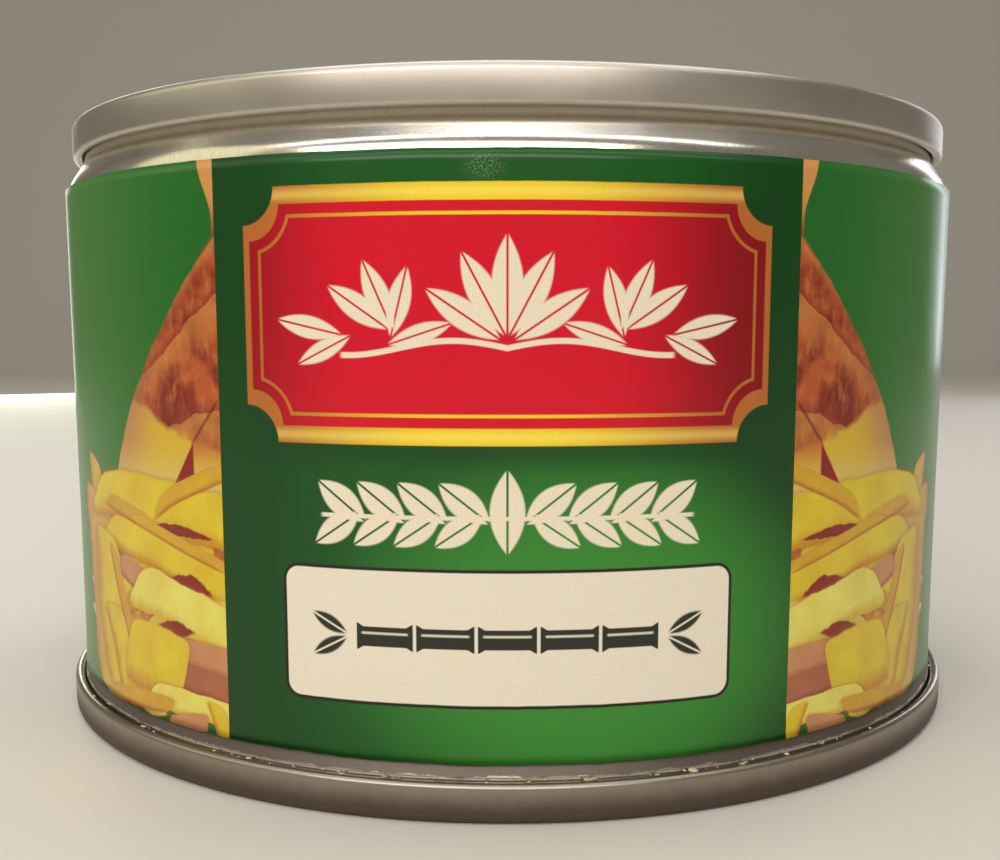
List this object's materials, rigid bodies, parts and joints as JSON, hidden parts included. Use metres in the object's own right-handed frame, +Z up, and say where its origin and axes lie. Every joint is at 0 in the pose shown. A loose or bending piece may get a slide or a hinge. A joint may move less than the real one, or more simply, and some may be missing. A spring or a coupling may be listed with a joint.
{
  "type": "food can",
  "caption": "Squat sealed tin can, necked in under its top seam, with double-seamed ends, a wrap-around printed paper label and sliced bamboo shoots inside.",
  "frame": {"origin": "middle of the ring that the can stands on, on the floor plane", "axes": "+Z up along the can's axis; -Y is the label's front, +Y its glued lap and the body's weld"},
  "size_m": [0.0862, 0.0862, 0.0528],
  "materials": {
    "tinplate": "satin tin-coated steel sheet, rolled and slightly streaked",
    "sealing_compound": "matte dried sealing compound",
    "printed_label": "gloss-varnished printed paper: green panels, red plaque with gold edges, cream box, pictured shoots",
    "label_glue": "satin dried label glue",
    "bamboo_flesh": "satin boiled bamboo shoot"
  },
  "bodies": {
    "root": {"can_body": "tinplate", "top_end": "tinplate", "bottom_end": "tinplate", "top_sealing_compound": "sealing_compound", "bottom_sealing_compound": "sealing_compound", "paper_label": "printed_label", "pickup_glue": "label_glue", "lap_glue": "label_glue", "bamboo_slice_01": "bamboo_flesh", "bamboo_slice_02": "bamboo_flesh", "bamboo_slice_03": "bamboo_flesh", "bamboo_slice_04": "bamboo_flesh", "bamboo_slice_05": "bamboo_flesh", "bamboo_slice_06": "bamboo_flesh", "bamboo_slice_07": "bamboo_flesh", "bamboo_slice_08": "bamboo_flesh", "bamboo_slice_09": "bamboo_flesh", "bamboo_slice_10": "bamboo_flesh", "bamboo_slice_11": "bamboo_flesh", "bamboo_slice_12": "bamboo_flesh", "bamboo_slice_13": "bamboo_flesh", "bamboo_slice_14": "bamboo_flesh", "bamboo_slice_15": "bamboo_flesh", "bamboo_slice_16": "bamboo_flesh", "bamboo_slice_17": "bamboo_flesh", "bamboo_slice_18": "bamboo_flesh", "bamboo_slice_19": "bamboo_flesh", "bamboo_slice_20": "bamboo_flesh", "bamboo_slice_21": "bamboo_flesh", "bamboo_slice_22": "bamboo_flesh", "bamboo_slice_23": "bamboo_flesh", "bamboo_slice_24": "bamboo_flesh", "bamboo_slice_25": "bamboo_flesh", "bamboo_slice_26": "bamboo_flesh", "bamboo_slice_27": "bamboo_flesh", "bamboo_slice_28": "bamboo_flesh", "bamboo_slice_29": "bamboo_flesh", "bamboo_slice_30": "bamboo_flesh", "bamboo_slice_31": "bamboo_flesh", "bamboo_slice_32": "bamboo_flesh", "bamboo_slice_33": "bamboo_flesh", "bamboo_slice_34": "bamboo_flesh", "bamboo_slice_35": "bamboo_flesh", "bamboo_slice_36": "bamboo_flesh", "bamboo_slice_37": "bamboo_flesh", "bamboo_slice_38": "bamboo_flesh", "bamboo_slice_39": "bamboo_flesh"}
  },
  "joints": []
}
